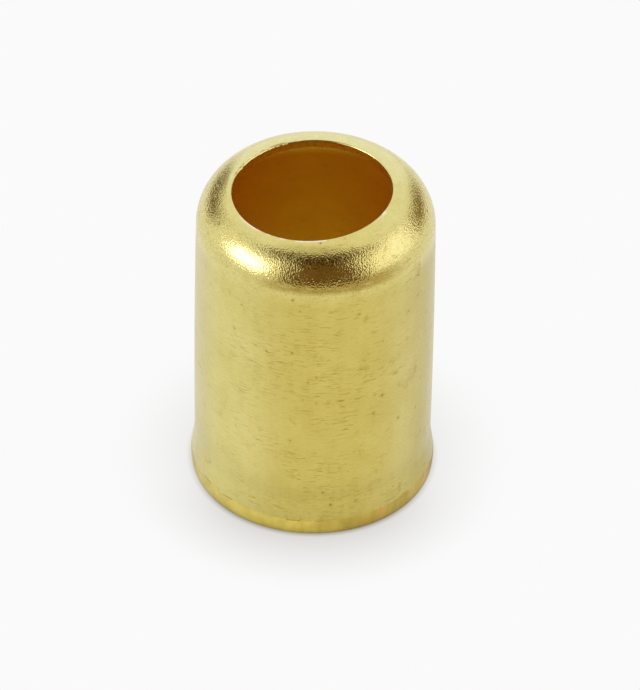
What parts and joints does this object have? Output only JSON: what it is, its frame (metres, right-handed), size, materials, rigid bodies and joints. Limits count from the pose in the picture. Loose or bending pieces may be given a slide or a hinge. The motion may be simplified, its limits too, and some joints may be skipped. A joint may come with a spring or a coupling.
{
  "type": "leg ferrule",
  "caption": "Drawn brass ferrule that caps the end of a round leg: straight socket, slightly flared mouth, rounded crown with a hole through it.",
  "frame": {"origin": "on the ferrule's axis, in the plane of the rim that it stands on", "axes": "+Z along the axis, from the open mouth up to the pierced crown; the crown hole sits slightly off the axis towards -X and -Y"},
  "size_m": [0.018, 0.018, 0.0254],
  "materials": {
    "brass": "bare drawn brass, satin, with fine drawing lines on the wall and a grainy burnished shoulder"
  },
  "bodies": {
    "root": {"ferrule": "brass"}
  },
  "joints": []
}
